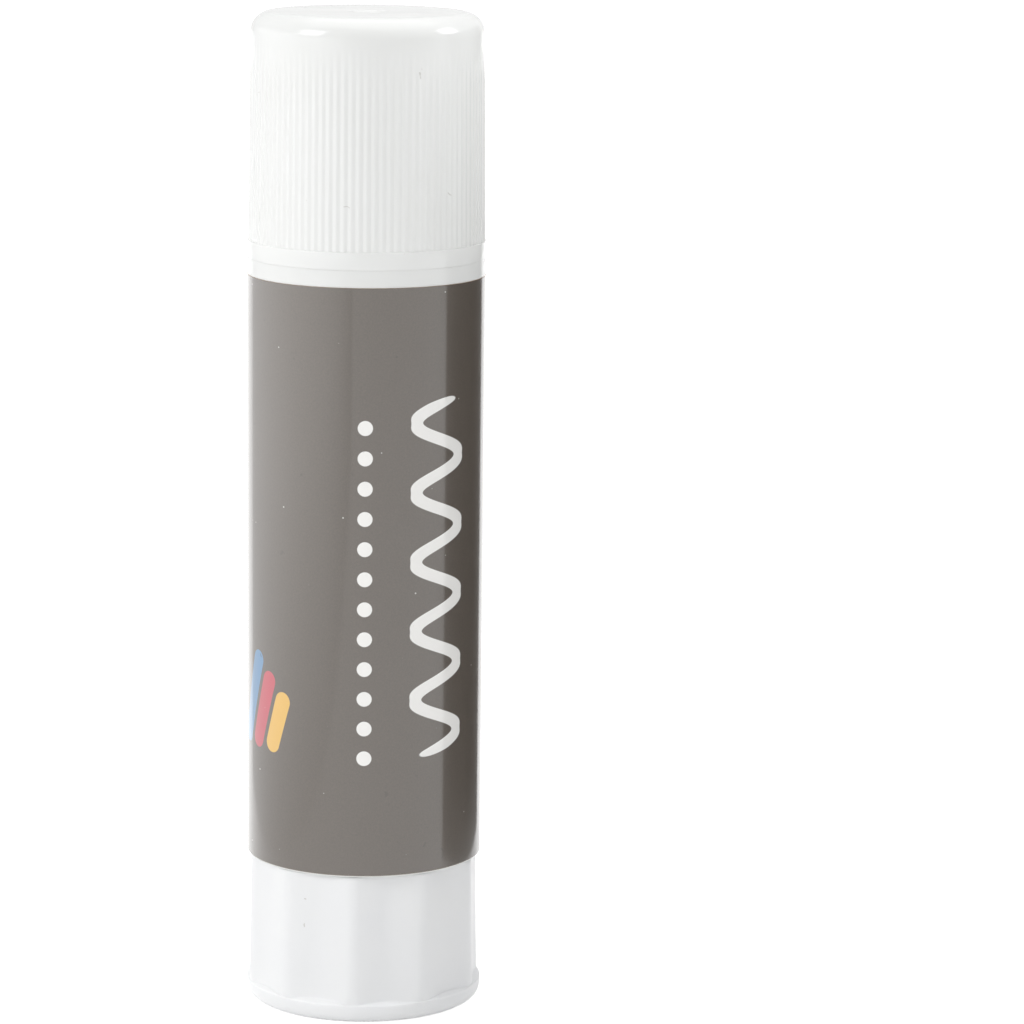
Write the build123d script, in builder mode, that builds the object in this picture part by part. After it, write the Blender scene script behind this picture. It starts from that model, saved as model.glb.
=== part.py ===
from build123d import *
import math
import os

os.makedirs("parts", exist_ok=True)

# Twist-up glue stick with its push-on cap in place. Millimetres, +Z up, origin in the middle
# of the face it stands on.

# Gaps between pieces
running_gap = 0.08          # knob on spigot, spindle in its hole
sliding_gap = 0.15          # glue and carrier in the bore
thread_gap = 0.18           # nut thread round the spindle's thread
core_gap = 0.3              # glue round the spindle's thread
rim_gap = 0.1               # barrel rim over the knob's rim, carrier over its seat
seat_gap = 0.05             # cap on the shoulder, spindle flange on the partition
socket_gap = 0.03           # spindle's foot in the knob's socket
cap_gap = 0.2               # cap's bore round the neck, between the neck's beads
seal_gap = 0.1              # cap's ring in the barrel's mouth

# Barrel: tube with a neck above and a spigot below, and a partition across the spigot
barrel_radius = 10.2        # seat of the label, from which every other step is measured
collar_step = 0.05          # bare ring between label and cap, out from the label's seat
collar_length = 1.45
parting_round = 0.03        # edges of collar and cap, where they part
neck_step = 1.3             # neck, in from the label's seat
neck_wall = 0.95
neck_length = 8.5
mouth_round = 0.3
neck_bead = 0.12            # two rings that the cap grips
neck_bead_length = 0.9
neck_bead_shares = (0.34, 0.72)
spigot_step = 1.9           # spigot, in from the label's seat
spigot_wall = 1.1
snap_bead = 0.3             # ring on the spigot that holds the knob on
snap_bead_length = 1.4
snap_bead_rise = 3.6        # over the spigot's lower end
partition_drop = 2.4        # top of the partition, under the barrel's rim
partition_thickness = 1.0
guide_count = 4             # upright ribs in the bore that keep the carrier from turning
guide_width = 1.2
guide_depth = 0.6
guide_sink = 0.3            # how deep a rib's root lies in the wall
guide_angle = 45.0
guide_end = 0.3             # from the ribs' upper ends to the cap's ring

# Knob: ten flats with rounded corners between them, over a round foot
knob_height = 13.0
foot_step = 0.08            # foot, out from the label's seat
foot_height = 1.6           # side of the foot, up to the ledge under the flats
foot_round = 0.9            # round of the lower edge
ledge_rise = 0.2            # climb of the ledge from the foot's side to the flats
ledge_width = 0.43
flat_draft = 0.2            # how far a flat leans in, up to the rim
flat_count = 10
first_corner_angle = -93.5
corner_round = 1.8
knob_floor = 2.2            # height of the floor's upper face
spigot_clearance = 0.6      # spigot over the knob's floor
sole_width = 4.28           # ring that it stands on, round a shallow dish
sole_depth = 0.5
column_wall = 1.65          # round the socket that holds the spindle's foot
column_clearance = 1.2      # column under the partition

# Label: printed film wrapped round the barrel
label_thickness = 0.1
label_length = 50.9
label_inset = 0.1           # from the barrel's rim

# Cap
cap_height = 20.9
band_step = 0.08            # smooth band at the open end, out from the label's seat
band_height = 1.45
band_edge_round = 0.07
crest_step = 0.09           # rib crests over the band, in from the band
crest_draft = 0.19          # how far the crests lean in, carried on to the top
shoulder_round = 1.8
flute_count = 98
flute_width = 0.52          # V-shaped flutes, at their lower ends
flute_depth = 0.13
flute_rise = 0.06           # lower ends of the flutes over the band
flute_stop = 0.35           # where the flutes have run out, under the shoulder's round
flute_over = 0.05           # how far the cutting shape stands out of the crests
cap_ceiling = 1.3
cap_corner_round = 0.6
gate_radius = 1.6           # dimple in the middle of the top
gate_depth = 0.22
seal_wall = 0.6
seal_reach = 1.2            # how far the ring enters the mouth

# Spindle: left-hand screw, so that a turn towards +Z lifts the carrier
thread_lead = 4.0
thread_core = 1.9
thread_depth = 0.65
thread_root_width = 1.5
thread_crest_width = 0.8
thread_sink = 0.15          # how deep the ridge's root lies in the core
tip_depth = 6.95            # tip of the screw under the mouth
tip_length = 0.7            # bare core over the thread
tip_chamfer = 0.5
foot_flats = 4.5            # hexagonal foot, across the flats
foot_end_gap = 0.3          # foot over the knob's floor
foot_neck = 0.3             # end of the journal under the partition
journal_step = 0.65         # journal, out from the foot's flats
flange_step = 1.3           # flange, out from the journal
flange_thickness = 0.75

# Carrier: cup with a threaded hub that rides on the spindle
cup_floor = 1.2
cup_wall = 0.8
cup_height = 7.9
hub_wall = 1.35             # round the thread's crest
hub_clearance = 0.3         # hub over the spindle's flange
hub_drop = 2.0              # hub below the cup's underside
hub_rise = 4.9              # hub above the cup's underside
hub_play = 0.2              # nut's bore round the spindle's core
nut_turns = 4               # turns of the shape that cuts the nut's groove

# Glue
glue_recess = 2.0           # top of the glue below the mouth
glue_edge_round = 0.4
glue_hole_end = 0.5         # end of the glue's hole over the spindle's tip

# Radii from the axis
collar_radius = barrel_radius + collar_step
neck_radius = barrel_radius - neck_step
bore_radius = neck_radius - neck_wall
spigot_radius = barrel_radius - spigot_step
spigot_bore = spigot_radius - spigot_wall
knob_bore = spigot_radius + running_gap
foot_radius = barrel_radius + foot_step
flat_radius_low = foot_radius - ledge_width
flat_radius_top = flat_radius_low - flat_draft
sole_radius = foot_radius - sole_width
column_radius = foot_flats / 2 + column_wall
journal_radius = foot_flats / 2 + journal_step
flange_radius = journal_radius + flange_step
hole_radius = journal_radius + running_gap
thread_crest = thread_core + thread_depth
hub_radius = thread_crest + hub_wall
carrier_radius = bore_radius - sliding_gap
glue_hole_radius = thread_crest + core_gap
band_radius = barrel_radius + band_step
crest_radius_low = band_radius - crest_step
crest_radius_top = crest_radius_low - crest_draft
cap_bore = neck_radius + cap_gap
seal_radius = bore_radius - seal_gap

# Heights from the face it stands on
rim_z = knob_height + rim_gap
label_z = rim_z + label_inset
label_top_z = label_z + label_length
shoulder_z = label_top_z + collar_length
mouth_z = shoulder_z + neck_length
spigot_z = knob_floor + spigot_clearance
snap_z = spigot_z + snap_bead_rise
partition_top_z = rim_z - partition_drop
partition_z = partition_top_z - partition_thickness
column_z = partition_z - column_clearance
ledge_z = foot_height + ledge_rise
flange_z = partition_top_z + seat_gap
core_z = flange_z + flange_thickness
hub_z = core_z + hub_clearance
cup_z = hub_z + hub_drop
hub_top_z = cup_z + hub_rise
cup_floor_z = cup_z + cup_floor
cup_top_z = cup_z + cup_height
bore_seat_z = cup_z - rim_gap
tip_z = mouth_z - tip_depth
thread_z = core_z + thread_root_width
thread_top_z = tip_z - tip_length - thread_root_width / 2
thread_turns = (thread_top_z - thread_z) / thread_lead
glue_top_z = mouth_z - glue_recess
seal_z = mouth_z - seal_reach
cap_z = shoulder_z + seat_gap
band_z = cap_z + band_height
cap_top_z = cap_z + cap_height
ceiling_z = cap_top_z - cap_ceiling
near = 0.001                # how close an edge lies to the place it is looked for


# Full circles of an edge list at a radius and a height
def rings(edges, radius, height):
    return [edge for edge in edges.filter_by(GeomType.CIRCLE)
            if abs(edge.radius - radius) < near and abs(edge.arc_center.Z - height) < near]


# Three points of a raised ring on a straight side, from below
def bead_points(radius, rise, length, height):
    return [(radius, height - length / 2), (radius + rise, height), (radius, height + length / 2)]


# Helical ridge of the spindle's thread, or with room round it, the groove in the nut
def thread_ridge(start_z, turns, room):
    with BuildPart() as ridge:
        with BuildLine() as helix:
            Helix(thread_lead, turns * thread_lead, thread_core, center=(0, 0, start_z),
                  lefthand=True)
        with BuildSketch(Plane(helix.line @ 0, x_dir=(1, 0, 0), z_dir=helix.line % 0)):
            with BuildLine():
                root = thread_root_width / 2 + room
                crest = thread_crest_width / 2 + room
                reach = thread_depth + room
                Polyline((-thread_sink, -root), (reach, -crest), (reach, crest),
                         (-thread_sink, root), close=True)
            make_face()
        sweep(path=helix.line, is_frenet=True)
    return ridge.part


# Guides with room round them, which cut the slots in what slides up the bore
def guide_room(low_z, high_z):
    with BuildPart() as room:
        with BuildSketch(Plane.XY.offset(low_z)):
            with PolarLocations(bore_radius - guide_depth / 2, guide_count, guide_angle):
                Rectangle(guide_depth + 2 * sliding_gap, guide_width + 2 * sliding_gap)
        extrude(amount=high_z - low_z)
    return room.part


# Knob: a closed cup that turns on the barrel's spigot and holds the spindle's foot
grip_length = knob_height - foot_round
grip_taper = math.degrees(math.atan(flat_draft / grip_length))
upright_share = 0.9

with BuildPart() as knob:
    with BuildSketch(Plane.XY.offset(foot_round)):
        RegularPolygon(flat_radius_low, flat_count, major_radius=False, rotation=first_corner_angle)
    extrude(amount=grip_length, taper=grip_taper)
    fillet([edge for edge in knob.edges() if abs((edge % 0.5).Z) > upright_share], corner_round)
    with BuildSketch(Plane.XZ):
        with BuildLine():
            Polyline((foot_radius, foot_round), (foot_radius, foot_height),
                     (flat_radius_low, ledge_z), (0, ledge_z), (0, 0),
                     (foot_radius - foot_round, 0))
            CenterArc((foot_radius - foot_round, foot_round), foot_round, -90, 90)
        make_face()
    revolve(axis=Axis.Z)
    with BuildSketch(Plane.XZ):
        with BuildLine():
            Polyline((column_radius, knob_floor), (knob_bore, knob_floor),
                     *bead_points(knob_bore, snap_bead, snap_bead_length, snap_z),
                     (knob_bore, knob_height), (0, knob_height), (0, column_z),
                     (column_radius, column_z), close=True)
        make_face()
    revolve(axis=Axis.Z, mode=Mode.SUBTRACT)
    with BuildSketch(Plane.XY.offset(knob_floor)):
        RegularPolygon(foot_flats / 2 + socket_gap, 6, major_radius=False)
    extrude(amount=column_z - knob_floor, mode=Mode.SUBTRACT)
    with BuildSketch(Plane.XY):
        Circle(sole_radius)
    extrude(amount=sole_depth, mode=Mode.SUBTRACT)

knob.part.label = "knob"
export_step(knob.part, "parts/knob.step")

# Spindle: hexagonal foot, journal, flange and screw in one moulding
screw_ridge = thread_ridge(thread_z, thread_turns, 0)

with BuildPart() as spindle:
    with BuildSketch(Plane.XY.offset(knob_floor + foot_end_gap)):
        RegularPolygon(foot_flats / 2, 6, major_radius=False)
    extrude(amount=partition_z - knob_floor - foot_end_gap)
    with BuildSketch(Plane.XZ):
        with BuildLine():
            Polyline((0, partition_z - foot_neck), (journal_radius, partition_z - foot_neck),
                     (journal_radius, flange_z), (flange_radius, flange_z), (flange_radius, core_z),
                     (thread_core, core_z), (thread_core, tip_z - tip_chamfer),
                     (thread_core - tip_chamfer, tip_z), (0, tip_z), close=True)
        make_face()
    revolve(axis=Axis.Z)
    add(screw_ridge)

spindle.part.label = "spindle"
export_step(spindle.part, "parts/spindle.step")

# Barrel
neck_beads = [point for share in neck_bead_shares for point in
              bead_points(neck_radius, neck_bead, neck_bead_length, shoulder_z + share * neck_length)]

with BuildPart() as barrel:
    with BuildSketch(Plane.XZ):
        with BuildLine():
            Polyline((spigot_bore, spigot_z), (spigot_radius, spigot_z),
                     *bead_points(spigot_radius, snap_bead, snap_bead_length, snap_z),
                     (spigot_radius, rim_z), (barrel_radius, rim_z), (barrel_radius, label_top_z),
                     (collar_radius, label_top_z), (collar_radius, shoulder_z),
                     (neck_radius, shoulder_z), *neck_beads, (neck_radius, mouth_z),
                     (bore_radius, mouth_z), (bore_radius, bore_seat_z),
                     (spigot_bore, bore_seat_z), (spigot_bore, partition_top_z),
                     (hole_radius, partition_top_z), (hole_radius, partition_z),
                     (spigot_bore, partition_z), close=True)
        make_face()
    revolve(axis=Axis.Z)
    fillet(rings(barrel.edges(), neck_radius, mouth_z), mouth_round)
    fillet(rings(barrel.edges(), bore_radius, mouth_z), mouth_round)
    fillet(rings(barrel.edges(), collar_radius, shoulder_z), parting_round)
    with BuildSketch(Plane.XY.offset(bore_seat_z)):
        with PolarLocations(bore_radius + (guide_sink - guide_depth) / 2, guide_count, guide_angle):
            Rectangle(guide_depth + guide_sink, guide_width)
    extrude(amount=seal_z - guide_end - bore_seat_z)

barrel.part.label = "barrel"
export_step(barrel.part, "parts/barrel.step")

# Label
with BuildPart() as label:
    with BuildSketch(Plane.XY.offset(label_z)):
        Circle(barrel_radius + label_thickness)
        Circle(barrel_radius, mode=Mode.SUBTRACT)
    extrude(amount=label_length)

label.part.label = "label"
export_step(label.part, "parts/label.step")

# Carrier
nut_groove = thread_ridge(thread_z - thread_lead, nut_turns, thread_gap)
carrier_slots = guide_room(cup_z, cup_top_z)

with BuildPart() as carrier:
    with BuildSketch(Plane.XZ):
        with BuildLine():
            Polyline((0, hub_z), (hub_radius, hub_z), (hub_radius, cup_z), (carrier_radius, cup_z),
                     (carrier_radius, cup_top_z), (carrier_radius - cup_wall, cup_top_z),
                     (carrier_radius - cup_wall, cup_floor_z), (hub_radius, cup_floor_z),
                     (hub_radius, hub_top_z), (0, hub_top_z), close=True)
        make_face()
    revolve(axis=Axis.Z)
    add(nut_groove, mode=Mode.SUBTRACT)
    with BuildSketch(Plane.XY.offset(hub_z)):
        Circle(thread_core + hub_play)
    extrude(amount=hub_top_z - hub_z, mode=Mode.SUBTRACT)
    add(carrier_slots, mode=Mode.SUBTRACT)

carrier.part.label = "carrier"
export_step(carrier.part, "parts/carrier.step")

# Glue, cast in the barrel round the carrier's hub and the spindle
glue_slots = guide_room(cup_floor_z, glue_top_z)

with BuildPart() as glue:
    with BuildSketch(Plane.XZ):
        with BuildLine():
            Polyline((hub_radius, cup_floor_z), (carrier_radius - cup_wall, cup_floor_z),
                     (carrier_radius - cup_wall, cup_top_z), (carrier_radius, cup_top_z),
                     (carrier_radius, glue_top_z), (0, glue_top_z), (0, tip_z + glue_hole_end),
                     (glue_hole_radius, tip_z + glue_hole_end), (glue_hole_radius, hub_top_z),
                     (hub_radius, hub_top_z), close=True)
        make_face()
    revolve(axis=Axis.Z)
    fillet(rings(glue.edges(), carrier_radius, glue_top_z), glue_edge_round)
    add(glue_slots, mode=Mode.SUBTRACT)

glue.part.label = "glue"
export_step(glue.part, "parts/glue.step")

# Cap
flute_z = band_z + flute_rise
flute_top_z = cap_top_z - shoulder_round - flute_stop
flute_lean = math.atan((flute_depth - crest_draft * (flute_top_z - band_z) / (cap_top_z - band_z))
                       / (flute_top_z - flute_z))
flute_planes = [Plane(Vector(crest_radius_low, 0, flute_z).rotate(Axis.Z, turn),
                      x_dir=Vector(0, 1, 0).rotate(Axis.Z, turn),
                      z_dir=Vector(math.sin(flute_lean), 0, math.cos(flute_lean)).rotate(Axis.Z, turn))
                for turn in [index * 360 / flute_count for index in range(flute_count)]]
flute_spread = flute_width / 2 * (1 + flute_over / flute_depth)

with BuildPart() as cap:
    with BuildSketch(Plane.XZ):
        with BuildLine():
            Polyline((cap_bore, cap_z), (band_radius, cap_z), (band_radius, band_z),
                     (crest_radius_low, band_z), (crest_radius_top, cap_top_z), (0, cap_top_z),
                     (0, ceiling_z), (seal_radius - seal_wall, ceiling_z),
                     (seal_radius - seal_wall, seal_z), (seal_radius, seal_z),
                     (seal_radius, ceiling_z), (cap_bore, ceiling_z), close=True)
        make_face()
    revolve(axis=Axis.Z)
    fillet(rings(cap.edges(), crest_radius_top, cap_top_z), shoulder_round)
    fillet(rings(cap.edges(), band_radius, band_z), band_edge_round)
    fillet(rings(cap.edges(), band_radius, cap_z), parting_round)
    fillet(rings(cap.edges(), cap_bore, ceiling_z), cap_corner_round)
    with BuildSketch(*flute_planes):
        with BuildLine():
            Polyline((-flute_spread, -flute_over), (flute_spread, -flute_over), (0, flute_depth),
                     close=True)
        make_face()
    extrude(amount=cap_height, mode=Mode.SUBTRACT)
    with BuildSketch(Plane.XZ):
        with BuildLine():
            ThreePointArc((-gate_radius, cap_top_z), (0, cap_top_z - gate_depth),
                          (gate_radius, cap_top_z))
            Line((gate_radius, cap_top_z), (-gate_radius, cap_top_z))
        make_face()
        split(bisect_by=Plane.YZ)
    revolve(axis=Axis.Z, mode=Mode.SUBTRACT)

cap.part.label = "cap"
export_step(cap.part, "parts/cap.step")
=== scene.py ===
import math

import bpy
from mathutils import Matrix, Vector


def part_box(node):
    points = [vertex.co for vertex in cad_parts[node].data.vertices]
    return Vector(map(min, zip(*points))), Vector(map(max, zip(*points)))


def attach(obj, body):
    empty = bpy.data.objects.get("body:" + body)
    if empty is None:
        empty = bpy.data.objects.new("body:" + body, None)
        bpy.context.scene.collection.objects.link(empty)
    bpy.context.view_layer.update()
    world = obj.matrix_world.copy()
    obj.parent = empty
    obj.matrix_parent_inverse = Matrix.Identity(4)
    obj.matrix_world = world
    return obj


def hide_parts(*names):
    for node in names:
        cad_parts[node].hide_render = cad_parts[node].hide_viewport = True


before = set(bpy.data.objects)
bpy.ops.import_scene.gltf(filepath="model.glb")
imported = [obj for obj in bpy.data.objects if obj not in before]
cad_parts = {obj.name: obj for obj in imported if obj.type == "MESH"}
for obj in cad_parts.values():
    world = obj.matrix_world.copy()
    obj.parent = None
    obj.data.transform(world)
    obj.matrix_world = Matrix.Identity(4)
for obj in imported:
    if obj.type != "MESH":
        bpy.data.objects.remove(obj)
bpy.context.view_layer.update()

scene = bpy.context.scene

# Barrel: the tube that everything else is fitted to, with a neck for the cap and a spigot for
# the knob. Injection moulded in white polypropylene; only a ring of it shows while it is capped.

MM = 0.001
barrel_seat_radius = 10.2 * MM      # tube under the label


# sRGB hex colour as linear red, green, blue and alpha
def linear(hex_colour):
    channels = [int(hex_colour[start:start + 2], 16) / 255 for start in (1, 3, 5)]
    return [c / 12.92 if c <= 0.04045 else ((c + 0.055) / 1.055) ** 2.4 for c in channels] + [1]


# Node of a kind in a tree, with its settings, the values of its inputs and the links into them;
# a node given for an input links its first output
def add_node(tree, kind, inputs=None, **settings):
    node = tree.nodes.new(kind)
    for name, value in settings.items():
        setattr(node, name, value)
    for name, value in (inputs or {}).items():
        if isinstance(value, bpy.types.Node):
            value = value.outputs[0]
        if isinstance(value, bpy.types.NodeSocket):
            tree.links.new(value, node.inputs[name])
        else:
            node.inputs[name].default_value = value
    return node


# New material, its tree and its shader
def new_material(name):
    material = bpy.data.materials.new(name)
    material.use_nodes = True
    return material, material.node_tree, material.node_tree.nodes["Principled BSDF"]


# Short hairlines from handling: the contours of one noise, kept only where a second one is above
# the rarity
def hairline_mask(tree, place, line_spacing, line_width, patch_width, rarity):
    core = 0.4                          # share of the width that is fully marked
    patch_fade = 0.03                   # softness of the ends
    wander = add_node(tree, "ShaderNodeTexNoise", {"Vector": place, "Scale": 1 / line_spacing, "Detail": 1.0})
    off_line = add_node(tree, "ShaderNodeMath", {0: wander.outputs["Fac"], 1: 0.5}, operation="SUBTRACT")
    away = add_node(tree, "ShaderNodeMath", {0: off_line}, operation="ABSOLUTE")
    half_share = line_width / line_spacing
    line = add_node(tree, "ShaderNodeMapRange", {"Value": away, "From Min": half_share * core,
                                                "From Max": half_share, "To Min": 1.0, "To Max": 0.0})
    patch = add_node(tree, "ShaderNodeTexNoise", {"Vector": place, "Scale": 1 / patch_width, "Detail": 2.0})
    kept = add_node(tree, "ShaderNodeMapRange", {"Value": patch.outputs["Fac"], "From Min": rarity,
                                                "From Max": rarity + patch_fade})
    both = add_node(tree, "ShaderNodeMath", {0: line.outputs["Result"], 1: kept.outputs["Result"]},
                    operation="MULTIPLY")
    return both.outputs[0]


# Injection moulded polypropylene: a milky, slightly waxy white that light sinks a little way
# into, over a fine spark-eroded grain, with faint flow marks from the filling of the mould and
# a few grey hairlines from handling
def moulded_polypropylene(name, colour, flow_colour, roughness, scatter_depth):
    material, tree, shader = new_material(name)
    place = add_node(tree, "ShaderNodeTexCoord").outputs["Object"]
    flow_width = 6 * MM
    flow = add_node(tree, "ShaderNodeTexNoise", {"Vector": place, "Scale": 1 / flow_width, "Detail": 2.0})
    tint = add_node(tree, "ShaderNodeMix", {"Factor": flow.outputs["Fac"]}, data_type="RGBA")
    tint.inputs["A"].default_value = linear(colour)
    tint.inputs["B"].default_value = linear(flow_colour)
    hairlines = hairline_mask(tree, place, line_spacing=3 * MM, line_width=0.035 * MM,
                              patch_width=1.3 * MM, rarity=0.69)
    marked = add_node(tree, "ShaderNodeMix", {"Factor": hairlines, "A": tint.outputs["Result"]},
                      data_type="RGBA")
    marked.inputs["B"].default_value = linear("#D8D7D4")
    tree.links.new(marked.outputs["Result"], shader.inputs["Base Color"])
    polish = add_node(tree, "ShaderNodeMapRange",      # glossier and duller by the flow
                      {"Value": flow.outputs["Fac"], "To Min": roughness - 0.04, "To Max": roughness + 0.05})
    tree.links.new(polish.outputs["Result"], shader.inputs["Roughness"])
    grain_width = 0.12 * MM             # real grain is 0.03 mm, too fine to show
    grain = add_node(tree, "ShaderNodeTexNoise",
                     {"Vector": place, "Scale": 1 / grain_width, "Detail": 1.0})
    grain_relief = add_node(tree, "ShaderNodeBump",
                            {"Height": grain.outputs["Fac"], "Distance": 0.002 * MM, "Strength": 1.0})
    sink = add_node(tree, "ShaderNodeBump",
                    {"Height": flow.outputs["Fac"], "Distance": 0.004 * MM, "Strength": 1.0,
                     "Normal": grain_relief.outputs["Normal"]})
    tree.links.new(sink.outputs["Normal"], shader.inputs["Normal"])
    shader.inputs["IOR"].default_value = 1.49
    shader.inputs["Subsurface Weight"].default_value = 0.8
    shader.inputs["Subsurface Radius"].default_value = (1.0, 1.0, 1.0)
    shader.inputs["Subsurface Scale"].default_value = scatter_depth
    return material


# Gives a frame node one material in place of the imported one
def finish_node(node_name, material):
    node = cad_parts[node_name]
    node.data.materials.clear()
    node.data.materials.append(material)


barrel_polypropylene = moulded_polypropylene("moulded_polypropylene_barrel", "#EDEEED", "#EAEBE9",
                                             roughness=0.18, scatter_depth=0.1 * MM)
finish_node("barrel", barrel_polypropylene)


# Spindle: the screw that lifts the glue, snapped through the barrel's partition from above.
# Moulded in white polypropylene with a polished thread, so that the nut runs easily.

spindle_polypropylene = moulded_polypropylene("moulded_polypropylene_spindle", "#ECEFF1", "#E4E8EC",
                                              roughness=0.22, scatter_depth=0.3 * MM)
finish_node("spindle", spindle_polypropylene)

# Carrier: the cup that the glue is cast into, with the nut in its hub. Moulded in softer
# white polypropylene, matt from the mould.

carrier_polypropylene = moulded_polypropylene("moulded_polypropylene_carrier", "#F0F1EE", "#E8EAE6",
                                              roughness=0.42, scatter_depth=0.35 * MM)
finish_node("carrier", carrier_polypropylene)


# Glue: ten grams of a waxy paste, poured hot into barrel and carrier and left to set. Off-white,
# translucent at its edges, with a satin skin and the faint dimples that it shrinks into.

def set_glue(name):
    material, tree, shader = new_material(name)
    place = add_node(tree, "ShaderNodeTexCoord").outputs["Object"]
    cloud_width = 3 * MM
    cloud = add_node(tree, "ShaderNodeTexNoise",
                     {"Vector": place, "Scale": 1 / cloud_width, "Detail": 3.0, "Roughness": 0.6})
    tint = add_node(tree, "ShaderNodeMix", {"Factor": cloud.outputs["Fac"]}, data_type="RGBA")
    tint.inputs["A"].default_value = linear("#F3F1EA")
    tint.inputs["B"].default_value = linear("#E6E4DA")
    tree.links.new(tint.outputs["Result"], shader.inputs["Base Color"])
    polish = add_node(tree, "ShaderNodeMapRange",
                      {"Value": cloud.outputs["Fac"], "To Min": 0.32, "To Max": 0.5})
    tree.links.new(polish.outputs["Result"], shader.inputs["Roughness"])
    ring_spacing = 0.5 * MM
    squeeze = add_node(tree, "ShaderNodeVectorMath", {0: place, 1: (0.15, 0.15, 1.0)}, operation="MULTIPLY")
    draw = add_node(tree, "ShaderNodeTexNoise",
                    {"Vector": squeeze.outputs["Vector"], "Scale": 1 / ring_spacing, "Detail": 2.0})
    relief = add_node(tree, "ShaderNodeBump",
                      {"Height": draw.outputs["Fac"], "Distance": 0.02 * MM, "Strength": 1.0})
    tree.links.new(relief.outputs["Normal"], shader.inputs["Normal"])
    shader.inputs["IOR"].default_value = 1.5
    shader.inputs["Subsurface Weight"].default_value = 1.0
    shader.inputs["Subsurface Radius"].default_value = (1.0, 0.95, 0.85)
    shader.inputs["Subsurface Scale"].default_value = 1.4 * MM
    return material


finish_node("glue", set_glue("set_glue_paste"))


# Knob: turned by its ten flats to wind the glue up. Moulded in white polypropylene and snapped
# over the barrel's spigot; the stick stands on the ring round the dish in its sole.

knob_columns = 720
knob_flats = 10
knob_first_corner = math.radians(-93.5)
knob_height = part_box("knob")[1].z
foot_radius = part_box("knob")[1].x
flat_radius_low = 9.85 * MM
flat_radius_top = 9.65 * MM
corner_round = 1.8 * MM
flat_hollow = 0.12 * MM             # the flats sink a little as the moulding cools
foot_round = 0.9 * MM
foot_height = 1.6 * MM
ledge_height = 1.8 * MM
sole_radius = 6.0 * MM
sole_depth = 0.5 * MM
knob_bore = 8.38 * MM
knob_floor = 2.2 * MM


# Points of an arc in radius and height, from one angle to another in degrees
def arc(radius_at, height_at, size, start, end, steps):
    turns = [math.radians(start + (end - start) * step / steps) for step in range(steps + 1)]
    return [(radius_at + size * math.cos(t), height_at + size * math.sin(t)) for t in turns]


# Distance from the axis to a polygon with rounded corners and hollow sides, in a direction
def polygon_radius(angle, apothem, sides, first_corner, round_size, hollow):
    half = math.pi / sides
    off_corner = abs((angle - first_corner + half) % (2 * half) - half)
    centre = (apothem - round_size) / math.cos(half)
    tangent = math.atan2(round_size * math.sin(half), centre + round_size * math.cos(half))
    if off_corner < tangent:
        return centre * math.cos(off_corner) + math.sqrt(
            round_size ** 2 - (centre * math.sin(off_corner)) ** 2)
    off_middle = (half - off_corner) / (half - tangent)
    return apothem / math.cos(half - off_corner) - hollow * (1 - off_middle ** 2) ** 2


# Smooth mesh through closed rings of points, each joined to the next; one face closes the first
# ring and one the last
def skin(name, rings, material):
    count = len(rings[0])
    points = [point for ring in rings for point in ring]
    faces = []
    for row in range(len(rings) - 1):
        base = row * count
        for column in range(count):
            beside = (column + 1) % count
            faces.append((base + column, base + beside, base + count + beside, base + count + column))
    faces.append(tuple(range(count - 1, -1, -1)))
    faces.append(tuple(range((len(rings) - 1) * count, len(rings) * count)))
    mesh = bpy.data.meshes.new(name)
    mesh.from_pydata(points, [], faces)
    mesh.shade_smooth()
    mesh.materials.append(material)
    piece = bpy.data.objects.new(name, mesh)
    scene.collection.objects.link(piece)
    return piece


# Ring of points round the axis, its radius and height given as a function of the angle
def ring_around(columns, place):
    points = []
    for column in range(columns):
        angle = 2 * math.pi * column / columns
        radius, height = place(angle)
        points.append((radius * math.cos(angle), radius * math.sin(angle), height))
    return points


# Plain rings, one for each radius and height of an outline
def turned(columns, outline):
    return [ring_around(columns, lambda angle, r=r, z=z: (r, z)) for r, z in outline]


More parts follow.
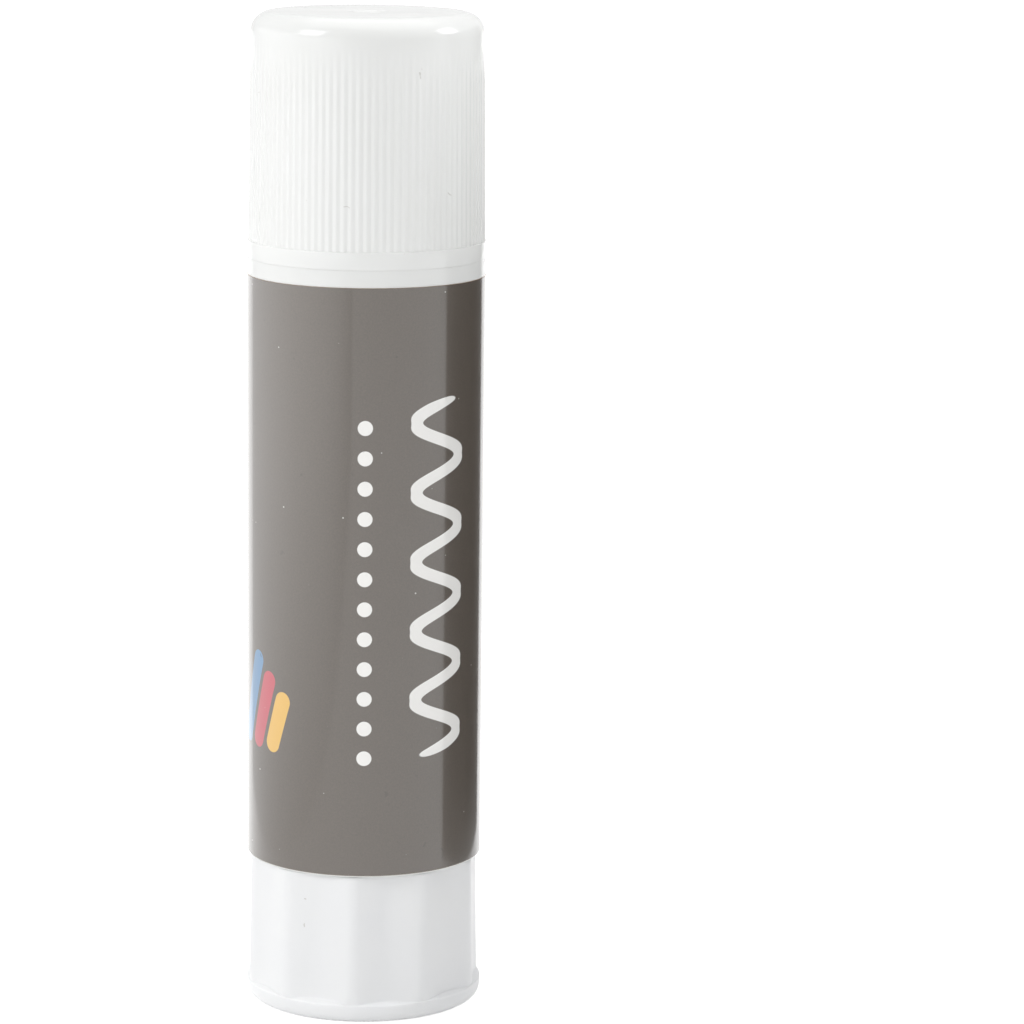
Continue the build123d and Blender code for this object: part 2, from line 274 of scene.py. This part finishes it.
# Rings of the knob, from the dish in its sole, up the outside and down into its bore
def knob_rings():
    dish_round = 0.2 * MM               # at the outer edge of the dish's floor
    dish_flat_end = sole_radius - 0.25 * MM
    ring_round = 0.15 * MM              # at the inner edge of the ring it stands on
    rim_round = 0.18 * MM
    ledge_edge = 0.07 * MM
    ledge_fillet = 0.16 * MM
    side_start = ledge_height + 0.35 * MM
    bore_edge = 0.2 * MM
    floor_edge = 0.3 * MM
    tiny = 0.01 * MM                    # radius of the face that closes an end

    outline = [(tiny, sole_depth), (sole_radius / 2, sole_depth), (dish_flat_end, sole_depth)]
    outline += arc(sole_radius - dish_round, sole_depth - dish_round, dish_round, 90, 0, 4)
    outline += arc(sole_radius + ring_round, ring_round, ring_round, 180, 270, 4)
    outline += [((sole_radius + foot_radius - foot_round) / 2, 0)]
    outline += arc(foot_radius - foot_round, foot_round, foot_round, -90, 0, 10)
    outline += [(foot_radius, (foot_round + foot_height) / 2)]
    outline += arc(foot_radius - ledge_edge, foot_height - ledge_edge, ledge_edge, 0, 65, 4)
    rows = turned(knob_columns, outline)

    def flat_at(angle, height):
        share = (height - foot_round) / (knob_height - foot_round)
        apothem = flat_radius_low + (flat_radius_top - flat_radius_low) * share
        return polygon_radius(angle, apothem, knob_flats, knob_first_corner, corner_round, flat_hollow)

    ledge_outer = foot_radius - ledge_edge
    widest_flat = foot_radius - ledge_edge * 1.2        # keeps the corners inside the ledge
    fillet_share = 0.6                  # most of the ledge's width that the fillet takes
    slope = (ledge_height - foot_height) / (foot_radius - flat_radius_low)

    # Radius of the flats at the ledge, and the fillet that there is room for
    def ledge_room(angle):
        inner = min(flat_at(angle, ledge_height), widest_flat)
        return inner, min(ledge_fillet, max(ledge_outer - inner, 0) * fillet_share)

    def ledge_at(angle, share):
        inner, fillet = ledge_room(angle)
        radius = ledge_outer + (inner + fillet - ledge_outer) * share
        return radius, foot_height + (foot_radius - radius) * slope

    def fillet_at(angle, turn):
        inner, fillet = ledge_room(angle)
        start_height = foot_height + (foot_radius - inner - fillet) * slope
        rise = fillet * (1 + slope)
        return inner + fillet * (1 - math.sin(turn)), start_height + rise * (1 - math.cos(turn))

    side_top = knob_height - rim_round

    def rim_at(angle, turn):
        inward = rim_round * (1 - math.cos(turn))
        return flat_at(angle, side_top) - inward, side_top + rim_round * math.sin(turn)

    rows += [ring_around(knob_columns, lambda a, s=share: ledge_at(a, s)) for share in (0.4, 0.8, 1.0)]
    rows += [ring_around(knob_columns, lambda a, t=math.radians(turn): fillet_at(a, t))
             for turn in (18, 36, 54, 72, 90)]
    for share in (0.04, 0.1, 0.2, 0.35, 0.5, 0.65, 0.8, 0.9, 0.96, 1.0):
        height = side_start + (side_top - side_start) * share
        rows.append(ring_around(knob_columns, lambda a, h=height: (flat_at(a, h), h)))
    rows += [ring_around(knob_columns, lambda a, t=math.radians(turn): rim_at(a, t))
             for turn in (20, 45, 70, 90)]
    return rows + turned(knob_columns, [
        (knob_bore + bore_edge, knob_height), (knob_bore, knob_height - bore_edge),
        (knob_bore, knob_floor + floor_edge), (knob_bore - floor_edge, knob_floor),
        (tiny, knob_floor)])


knob_polypropylene = moulded_polypropylene("moulded_polypropylene_knob", "#F5F6F6", "#F0F1F3",
                                           roughness=0.34, scatter_depth=0.3 * MM)
knob_body = skin("knob_body", knob_rings(), knob_polypropylene)
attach(knob_body, "knob")
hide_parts("knob")


# Label: a strip of printed film, wound once round the barrel and lapped over its own start at
# the back. Polypropylene film with taupe ink under a satin varnish; its cut edges show the core.

film_thickness = 0.07 * MM
film_edge_inset = 0.02 * MM
label_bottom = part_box("label")[0].z
label_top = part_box("label")[1].z
seam_angle = math.radians(62)       # back, a little to the left as seen from behind
lap_length = 4 * MM
lap_ramp = 1.2 * MM


# Position on the label in metres: x is the way round from the front's middle, y is the height
def label_place(tree):
    place = add_node(tree, "ShaderNodeTexCoord").outputs["Object"]
    parts = add_node(tree, "ShaderNodeSeparateXYZ", {"Vector": place})
    back = add_node(tree, "ShaderNodeMath", {0: parts.outputs["Y"], 1: -1.0}, operation="MULTIPLY")
    angle = add_node(tree, "ShaderNodeMath", {0: parts.outputs["X"], 1: back}, operation="ARCTAN2")
    around = add_node(tree, "ShaderNodeMath", {0: angle, 1: barrel_seat_radius}, operation="MULTIPLY")
    return place, around.outputs[0], parts.outputs["Z"]


# Mask of a line with round ends, from its middle, half length, half width and lean
def stroke_mask(tree, around, height, middle, half_length, half_width, lean):
    flat = add_node(tree, "ShaderNodeCombineXYZ", {"X": around, "Y": height})
    local = add_node(tree, "ShaderNodeMapping",
                     {"Vector": flat, "Location": (middle[0], middle[1], 0),
                      "Rotation": (0, 0, lean)}, vector_type="TEXTURE")
    away = add_node(tree, "ShaderNodeVectorMath", {0: local}, operation="ABSOLUTE")
    beyond = add_node(tree, "ShaderNodeVectorMath", {0: away, 1: (0, half_length, 0)}, operation="SUBTRACT")
    outside = add_node(tree, "ShaderNodeVectorMath", {0: beyond, 1: (0, 0, 0)}, operation="MAXIMUM")
    distance = add_node(tree, "ShaderNodeVectorMath", {0: outside}, operation="LENGTH")
    return edge_mask(tree, distance.outputs["Value"], half_width)


# One inside a distance, zero outside it, over a print's soft edge
def edge_mask(tree, distance, half_width):
    soft = 0.025 * MM
    mask = add_node(tree, "ShaderNodeMapRange",
                    {"Value": distance, "From Min": half_width - soft, "From Max": half_width + soft,
                     "To Min": 1.0, "To Max": 0.0})
    return mask.outputs["Result"]


# Printed film: taupe ink with a fine mottle and white designs, under a satin varnish that
# mirrors the room softly
def printed_film(name):
    material, tree, shader = new_material(name)
    place, around, height = label_place(tree)
    mottle_width = 0.14 * MM
    white_ink = "#F6F5F2"
    mottle = add_node(tree, "ShaderNodeTexNoise",
                      {"Vector": place, "Scale": 1 / mottle_width, "Detail": 3.0, "Roughness": 0.7})
    spread = add_node(tree, "ShaderNodeMapRange",
                      {"Value": mottle.outputs["Fac"], "From Min": 0.36, "From Max": 0.64})
    ground = add_node(tree, "ShaderNodeMix", {"Factor": spread.outputs["Result"]}, data_type="RGBA")
    ground.inputs["A"].default_value = linear("#5A534C")
    ground.inputs["B"].default_value = linear("#605850")
    colour = ground.outputs["Result"]

    def print_over(colour, mask, ink):
        layer = add_node(tree, "ShaderNodeMix", {"Factor": mask, "A": colour}, data_type="RGBA")
        layer.inputs["B"].default_value = linear(ink)
        return layer.outputs["Result"]

    # White ink: a wavy line up the front, the length of a hand's stroke
    wave_middle = 7.0 * MM
    wave_swing = 2.2 * MM
    wave_length = 6.0 * MM
    wave_low = 24.0 * MM
    wave_high = 54.0 * MM
    wave_half_width = 0.55 * MM
    wave_turn = 2 * math.pi / wave_length
    phase = add_node(tree, "ShaderNodeMath", {0: height, 1: wave_turn}, operation="MULTIPLY")
    sine = add_node(tree, "ShaderNodeMath", {0: phase}, operation="SINE")
    line = add_node(tree, "ShaderNodeMath", {0: sine, 1: wave_swing, 2: wave_middle},
                    operation="MULTIPLY_ADD")
    cosine = add_node(tree, "ShaderNodeMath", {0: phase}, operation="COSINE")
    steep = add_node(tree, "ShaderNodeMath", {0: cosine, 1: wave_swing * wave_turn}, operation="MULTIPLY")
    square = add_node(tree, "ShaderNodeMath", {0: steep, 1: steep, 2: 1.0}, operation="MULTIPLY_ADD")
    stretch = add_node(tree, "ShaderNodeMath", {0: square}, operation="SQRT")
    aside = add_node(tree, "ShaderNodeMath", {0: around, 1: line}, operation="SUBTRACT")
    square_on = add_node(tree, "ShaderNodeMath", {0: aside, 1: stretch}, operation="DIVIDE")
    across = add_node(tree, "ShaderNodeMath", {0: square_on}, operation="ABSOLUTE")
    off_middle = add_node(tree, "ShaderNodeMath", {0: height, 1: (wave_low + wave_high) / 2},
                          operation="SUBTRACT")
    from_middle = add_node(tree, "ShaderNodeMath", {0: off_middle}, operation="ABSOLUTE")
    past = add_node(tree, "ShaderNodeMath", {0: from_middle, 1: (wave_high - wave_low) / 2},
                    operation="SUBTRACT")
    past_end = add_node(tree, "ShaderNodeMath", {0: past, 1: 0.0}, operation="MAXIMUM")
    reach = add_node(tree, "ShaderNodeCombineXYZ", {"X": across, "Y": past_end})
    distance = add_node(tree, "ShaderNodeVectorMath", {0: reach}, operation="LENGTH")
    colour = print_over(colour, edge_mask(tree, distance.outputs["Value"], wave_half_width), white_ink)

    # White ink: a row of dots beside the line
    dots_place = 0.3 * MM
    dots_low = 23.6 * MM
    dots_high = 53.5 * MM
    dot_pitch = 2.6 * MM
    dot_radius = 0.64 * MM
    last_dot = round((dots_high - dots_low) / dot_pitch)
    above = add_node(tree, "ShaderNodeMath", {0: height, 1: dots_low}, operation="SUBTRACT")
    row = add_node(tree, "ShaderNodeMath", {0: above, 1: dot_pitch}, operation="DIVIDE")
    whole = add_node(tree, "ShaderNodeMath", {0: row}, operation="ROUND")
    from_first = add_node(tree, "ShaderNodeMath", {0: whole, 1: 0.0}, operation="MAXIMUM")
    nearest = add_node(tree, "ShaderNodeMath", {0: from_first, 1: last_dot}, operation="MINIMUM")
    rows_off = add_node(tree, "ShaderNodeMath", {0: row, 1: nearest}, operation="SUBTRACT")
    off_dot = add_node(tree, "ShaderNodeMath", {0: rows_off, 1: dot_pitch}, operation="MULTIPLY")
    beside = add_node(tree, "ShaderNodeMath", {0: around, 1: dots_place}, operation="SUBTRACT")
    reach = add_node(tree, "ShaderNodeCombineXYZ", {"X": beside, "Y": off_dot})
    distance = add_node(tree, "ShaderNodeVectorMath", {0: reach}, operation="LENGTH")
    colour = print_over(colour, edge_mask(tree, distance.outputs["Value"], dot_radius), white_ink)

    # Three leaning strokes in plain colours, side by side at the left
    stroke_low = 24.0 * MM
    stroke_half_width = 0.85 * MM
    stroke_lean = math.radians(-18)
    for ink, middle, half_length in [("#5F8DB6", -12.0 * MM, 3.6 * MM), ("#C44F5D", -10.0 * MM, 2.8 * MM),
                                     ("#E6B85C", -8.0 * MM, 2.0 * MM)]:
        mask = stroke_mask(tree, around, height, (middle, stroke_low + half_length), half_length,
                           stroke_half_width, stroke_lean)
        colour = print_over(colour, mask, ink)

    # Pinholes where dust kept the ink off the film: cells of a foam, marked at their centres, of
    # which only the few that lie on the surface show
    pinhole_pitch = 2.2 * MM
    pinhole_radius = 0.07 * MM
    cells = add_node(tree, "ShaderNodeTexVoronoi",
                     {"Vector": place, "Scale": 1 / pinhole_pitch, "Randomness": 1.0})
    from_centre = add_node(tree, "ShaderNodeMath", {0: cells.outputs["Distance"], 1: pinhole_pitch},
                           operation="MULTIPLY")
    pinholes = add_node(tree, "ShaderNodeMath", {0: edge_mask(tree, from_centre, pinhole_radius), 1: 0.75},
                        operation="MULTIPLY")
    colour = print_over(colour, pinholes, "#D8D6D1")

    # Scuffs where the varnish is rubbed
    scuffs = hairline_mask(tree, place, line_spacing=5 * MM, line_width=0.05 * MM,
                           patch_width=1.6 * MM, rarity=0.68)
    faint_scuffs = add_node(tree, "ShaderNodeMath", {0: scuffs, 1: 0.5}, operation="MULTIPLY")
    colour = print_over(colour, faint_scuffs, "#4B4641")
    tree.links.new(colour, shader.inputs["Base Color"])
    wear_width = 4 * MM
    wear = add_node(tree, "ShaderNodeTexNoise", {"Vector": place, "Scale": 1 / wear_width, "Detail": 4.0})
    satin = add_node(tree, "ShaderNodeMapRange",
                     {"Value": wear.outputs["Fac"], "To Min": 0.3, "To Max": 0.42})
    tree.links.new(satin.outputs["Result"], shader.inputs["Roughness"])
    shader.inputs["Coat Weight"].default_value = 1.0
    shader.inputs["Coat IOR"].default_value = 1.5
    shader.inputs["Coat Roughness"].default_value = 0.1
    relief = add_node(tree, "ShaderNodeBump",
                      {"Height": wear.outputs["Fac"], "Distance": 0.012 * MM, "Strength": 1.0})
    tree.links.new(relief.outputs["Normal"], shader.inputs["Normal"])
    shader.inputs["IOR"].default_value = 1.5
    return material


# Core of the film, bare at its cut edges: a warmer, duller brown than the ink
def film_core(name):
    material, tree, shader = new_material(name)
    place = add_node(tree, "ShaderNodeTexCoord").outputs["Object"]
    fibre_width = 0.2 * MM
    fibre = add_node(tree, "ShaderNodeTexNoise",
                     {"Vector": place, "Scale": 1 / fibre_width, "Detail": 2.0})
    tint = add_node(tree, "ShaderNodeMix", {"Factor": fibre.outputs["Fac"]}, data_type="RGBA")
    tint.inputs["A"].default_value = linear("#C9B39C")
    tint.inputs["B"].default_value = linear("#B59C84")
    tree.links.new(tint.outputs["Result"], shader.inputs["Base Color"])
    shader.inputs["Roughness"].default_value = 0.6
    return material


# Rings of the wound strip, each one cut across it; it climbs on its own start at the seam
def wound_film():
    lap_angle = lap_length / barrel_seat_radius
    ramp_angle = lap_ramp / barrel_seat_radius
    steps = 384
    bevel = 0.012 * MM
    glue_gap = 0.004 * MM               # between film and barrel, and between film and film
    low = label_bottom + film_edge_inset
    high = label_top - film_edge_inset
    rise_rows = [0, 0.0006, 0.1, 0.3, 0.5, 0.7, 0.9, 0.9994, 1]
    rings = []
    for step in range(steps + 1):
        turn = (2 * math.pi + lap_angle) * step / steps
        climb = min(max((turn - (2 * math.pi - ramp_angle)) / ramp_angle, 0), 1)
        climb = climb * climb * (3 - 2 * climb)
        inner = barrel_seat_radius + glue_gap + climb * (film_thickness + glue_gap)
        outer = inner + film_thickness
        angle = seam_angle + turn
        outline = [(inner, low), (outer - bevel, low)]
        outline += [(outer, low + bevel + (high - low - 2 * bevel) * share) for share in rise_rows]
        outline += [(outer - bevel, high), (inner, high)]
        rings.append([(r * math.cos(angle), r * math.sin(angle), z) for r, z in outline])
    return rings


label_ink = printed_film("printed_polypropylene_film")
label_edge = film_core("polypropylene_film_cut_edge")
label_wrap = skin("label_wrap", wound_film(), label_ink)
label_wrap.data.materials.append(label_edge)
edge_steepness = 0.4                    # faces that look up or down are cut edges
for face in label_wrap.data.polygons:
    if abs(face.normal.z) > edge_steepness:
        face.material_index = 1
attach(label_wrap, "barrel")
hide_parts("label")


# Cap: pushed over the neck, where two rings hold it. Moulded in white polypropylene in one
# piece with the ring that plugs the mouth; fine ribs for grip run out under the shoulder.

rib_count = 98
columns_per_rib = 8
cap_columns = rib_count * columns_per_rib
cap_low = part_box("cap")[0].z
cap_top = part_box("cap")[1].z
band_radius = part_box("cap")[1].x
band_top = cap_low + 1.45 * MM
crest_radius_low = 10.19 * MM
crest_radius_top = 10.0 * MM
rib_depth = 0.06 * MM
rib_fade_low = cap_top - 6.4 * MM
rib_fade_high = cap_top - 1.8 * MM
shoulder_round = 1.8 * MM
cap_bore = 9.1 * MM
ceiling = cap_top - 1.3 * MM
seal_radius = 7.85 * MM
seal_wall = 0.6 * MM
seal_end = 72.85 * MM


# Rings of the cap, from the dimple in its top, down the outside and up into its bore
def cap_rings():
    tiny = 0.01 * MM                    # radius of the face that closes an end
    gate_radius = 1.6 * MM              # dimple in the top, where the sprue was cut off
    gate_depth = 0.22 * MM
    flat_radius = crest_radius_top - shoulder_round
    outline = [(tiny, cap_top - gate_depth)]
    outline += [(gate_radius * out, cap_top - gate_depth * down)
                for out, down in ((0.3, 0.93), (0.6, 0.62), (0.85, 0.22), (1.0, 0.04), (1.2, 0))]
    outline += [(flat_radius * 0.6, cap_top)]
    outline += arc(flat_radius, cap_top - shoulder_round, shoulder_round, 90, 0, 14)
    rows = turned(cap_columns, outline)

    def rib_radius(angle, height):
        share = (height - band_top) / (cap_top - band_top)
        crest = crest_radius_low + (crest_radius_top - crest_radius_low) * share
        fade = min(max((rib_fade_high - height) / (rib_fade_high - rib_fade_low), 0), 1)
        fade = fade * fade * (3 - 2 * fade)
        valley = 0.5 - 0.5 * math.cos(rib_count * angle)
        return crest - rib_depth * fade * valley

    side_high = cap_top - shoulder_round
    rib_foot_high = band_top + 0.12 * MM
    rib_foot_low = band_top + 0.03 * MM
    rib_foot_step = 0.01 * MM           # the ribs' lowest ring stands out, where they meet the band
    heights = [side_high - (side_high - rib_fade_low) * step / 12 for step in range(1, 13)]
    heights += [rib_fade_low - (rib_fade_low - band_top) * step / 4 for step in range(1, 4)]
    heights += [rib_foot_high, rib_foot_low]
    rows += [ring_around(cap_columns, lambda a, h=h: (rib_radius(a, h), h)) for h in heights]
    rows.append(ring_around(cap_columns, lambda a: (rib_radius(a, band_top) + rib_foot_step, band_top)))

    band_edge = 0.05 * MM
    band_swell = 0.045 * MM             # the band bulges, so that cap and barrel meet flush
    lip_edge = 0.008 * MM
    lip_low = cap_low - 0.075 * MM      # a little lower than the CAD's, over the barrel's round edge
    end_radius = band_radius - band_swell
    swell_high = band_top - band_edge
    swell_low = lip_low + lip_edge
    outline = arc(end_radius - band_edge, swell_high, band_edge, 90, 0, 4)
    outline += [(band_radius - band_swell * (2 * share - 1) ** 2,
                 swell_high + (swell_low - swell_high) * share)
                for share in (0.08, 0.2, 0.35, 0.5, 0.65, 0.8, 0.92)]
    outline += arc(end_radius - lip_edge, swell_low, lip_edge, 0, -90, 2)

    lead_in = 0.2 * MM
    lead_in_height = 0.3 * MM
    ceiling_round = 0.6 * MM
    seal_root = 0.1 * MM
    seal_round = 0.2 * MM
    seal_inside = seal_radius - seal_wall
    outline += [(cap_bore + lead_in, lip_low), (cap_bore, lip_low + lead_in_height)]
    outline += arc(cap_bore - ceiling_round, ceiling - ceiling_round, ceiling_round, 0, 90, 5)
    outline += [(seal_radius + seal_root, ceiling), (seal_radius, ceiling - seal_root)]
    outline += arc(seal_radius - seal_round, seal_end + seal_round, seal_round, 0, -90, 3)
    outline += arc(seal_inside + seal_round, seal_end + seal_round, seal_round, -90, -180, 3)
    outline += [(seal_inside, ceiling), (tiny, ceiling)]
    return rows + turned(cap_columns, outline)


cap_polypropylene = moulded_polypropylene("moulded_polypropylene_cap", "#F1F2F1", "#EEEFED",
                                          roughness=0.15, scatter_depth=0.1 * MM)
cap_shell = skin("cap_shell", cap_rings(), cap_polypropylene)
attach(cap_shell, "cap")
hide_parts("cap")


# Studio: a table of pale paper that runs out of sight, soft boxes high at the left, at the right
# and overhead, an even white room, a grey card beside the stick, and a glowing white panel at its left that
# paints a reflection on the label's left side.

# One for rays that see a thing itself or its mirror image, zero for those that gather its light
def seen_directly(tree):
    rays = add_node(tree, "ShaderNodeLightPath")
    seen = add_node(tree, "ShaderNodeMath",
                    {0: rays.outputs["Is Camera Ray"], 1: rays.outputs["Is Glossy Ray"]},
                    operation="MAXIMUM")
    seen = add_node(tree, "ShaderNodeMath", {0: seen, 1: rays.outputs["Is Transmission Ray"]},
                    operation="MAXIMUM")
    return seen.outputs[0]


# Plain matt paper; it glows to the eye and in gloss, so that it is as bright as the room behind
def studio_paper(name):
    material, tree, shader = new_material(name)
    tree.nodes.remove(shader)
    glow_strength = 0.7
    paper = add_node(tree, "ShaderNodeBsdfDiffuse", {"Color": linear("#EAEAEA")})
    lift = add_node(tree, "ShaderNodeMath", {0: seen_directly(tree), 1: glow_strength}, operation="MULTIPLY")
    glow = add_node(tree, "ShaderNodeEmission", {"Strength": lift})
    both = add_node(tree, "ShaderNodeAddShader", {0: paper, 1: glow})
    tree.links.new(both.outputs[0], tree.nodes["Material Output"].inputs["Surface"])
    return material


table_mesh = bpy.data.meshes.new("table")
half_table = 3.0
table_mesh.from_pydata([(-half_table, -half_table, 0), (half_table, -half_table, 0),
                        (half_table, half_table, 0), (-half_table, half_table, 0)], [], [(0, 1, 2, 3)])
table_mesh.materials.append(studio_paper("studio_paper"))
table = bpy.data.objects.new("table", table_mesh)
scene.collection.objects.link(table)

world = bpy.data.worlds.new("white_room")
scene.world = world
world.use_nodes = True
room = world.node_tree
room.nodes.clear()
fill = add_node(room, "ShaderNodeBackground", {"Strength": 0.755})      # what it lights with
bright = add_node(room, "ShaderNodeBackground", {"Strength": 1.0})      # what is seen of it
sky = add_node(room, "ShaderNodeMixShader", {0: seen_directly(room), 1: fill, 2: bright})
add_node(room, "ShaderNodeOutputWorld", {"Surface": sky})

lamp_distance = 1.2
stick_middle = Vector((0, 0, 45 * MM))


# Square soft box that faces the stick's middle, its size in metres and its power in watts
def soft_box(name, direction, size, power):
    lamp = bpy.data.lights.new(name, "AREA")
    lamp.shape = "SQUARE"
    lamp.size = size
    lamp.energy = power
    box = bpy.data.objects.new(name, lamp)
    scene.collection.objects.link(box)
    toward = Vector(direction).normalized()
    box.location = stick_middle + toward * lamp_distance
    box.rotation_mode = "QUATERNION"
    box.rotation_quaternion = toward.to_track_quat("Z", "Y")


soft_box("left_soft_box", (-0.75, -0.46, 0.5), size=0.45, power=4.4)
soft_box("right_soft_box", (0.88, 0.08, 0.5), size=0.4, power=4.5)
soft_box("top_soft_box", (0.05, 0.1, 1.0), size=1.5, power=5.0)

# Grey card at the right, seen only in gloss; it also keeps some of the right lamp's light off
# the stick
card_mesh = bpy.data.meshes.new("grey_card")
card_near, card_far = (60 * MM, -12 * MM), (40 * MM, 50 * MM)       # ends of its foot
card_top = 100 * MM
card_mesh.from_pydata([(card_near[0], card_near[1], 0), (card_far[0], card_far[1], 0),
                       (card_far[0], card_far[1], card_top), (card_near[0], card_near[1], card_top)],
                      [], [(0, 1, 2, 3)])
card_material, _, card_shader = new_material("grey_card")
card_shader.inputs["Base Color"].default_value = linear("#4A4743")
card_shader.inputs["Roughness"].default_value = 1.0
card_shader.inputs["Specular IOR Level"].default_value = 0.0
card_mesh.materials.append(card_material)
card = bpy.data.objects.new("grey_card", card_mesh)
scene.collection.objects.link(card)
card.visible_camera = False
card.visible_diffuse = False


# Glowing white panel at the left, no lamp, seen only in gloss and brightest abreast of the stick. It
# stands in for a lit reflector and paints the soft glow on the label's left side, a painted reflection.
def painted_glow_panel(name):
    dim, full = 0.4, 1.2                # glow at its foot, and above the dim height
    dim_height = 40 * MM
    room_white = 1.0                    # as bright as the room where it doesn't glow
    material, tree, shader = new_material(name)
    tree.nodes.remove(shader)
    place = add_node(tree, "ShaderNodeTexCoord").outputs["Object"]
    parts = add_node(tree, "ShaderNodeSeparateXYZ", {"Vector": place})
    rise = add_node(tree, "ShaderNodeMapRange", {"Value": parts.outputs["Y"], "From Min": glow_panel_front,
                                                "From Max": glow_panel_peak})
    fall = add_node(tree, "ShaderNodeMapRange", {"Value": parts.outputs["Y"], "From Min": glow_panel_peak,
                                                "From Max": glow_panel_back, "To Min": 1.0, "To Max": 0.0},
                    interpolation_type="SMOOTHSTEP")
    lift = add_node(tree, "ShaderNodeMapRange", {"Value": parts.outputs["Z"], "From Min": 0.0,
                                                "From Max": dim_height, "To Min": dim, "To Max": full})
    glow = add_node(tree, "ShaderNodeMath", {0: rise.outputs["Result"], 1: fall.outputs["Result"]},
                    operation="MULTIPLY")
    glow = add_node(tree, "ShaderNodeMath", {0: glow, 1: lift.outputs["Result"], 2: room_white},
                    operation="MULTIPLY_ADD")
    light = add_node(tree, "ShaderNodeEmission", {"Strength": glow})
    tree.links.new(light.outputs[0], tree.nodes["Material Output"].inputs["Surface"])
    return material


# Edges and side of the glowing panel that paints a reflection on the label's left side
glow_panel_front, glow_panel_peak, glow_panel_back = -300 * MM, -18 * MM, 60 * MM
glow_panel_side = -60 * MM
glow_panel_mesh = bpy.data.meshes.new("glow_panel")
glow_panel_mesh.from_pydata([(glow_panel_side, glow_panel_front, 0), (glow_panel_side, glow_panel_back, 0),
                            (glow_panel_side, glow_panel_back, card_top),
                            (glow_panel_side, glow_panel_front, card_top)], [], [(0, 1, 2, 3)])
glow_panel_mesh.materials.append(painted_glow_panel("painted_glow_panel"))
glow_panel = bpy.data.objects.new("glow_panel", glow_panel_mesh)
scene.collection.objects.link(glow_panel)
glow_panel.visible_camera = False
glow_panel.visible_diffuse = False
glow_panel.visible_shadow = False

# Camera: 0.37 m in front of the stick and a little above it, looking down; its place, turn and
# lens come from fitting the label's round edges in the photograph
camera_lens = bpy.data.cameras.new("camera")
camera_lens.lens = 152.0
camera_lens.sensor_width = 36.0
camera_lens.clip_start = 0.01
camera = bpy.data.objects.new("camera", camera_lens)
scene.collection.objects.link(camera)
scene.camera = camera
camera_place = Vector((12.73 * MM, -369.45 * MM, 112.47 * MM))
look_down = math.radians(10.61)
tilt = math.radians(0.63)
camera.matrix_world = (Matrix.Translation(camera_place) @ Matrix.Rotation(math.pi / 2 - look_down, 4, "X")
                       @ Matrix.Rotation(tilt, 4, "Z"))
scene.view_settings.view_transform = "Standard"
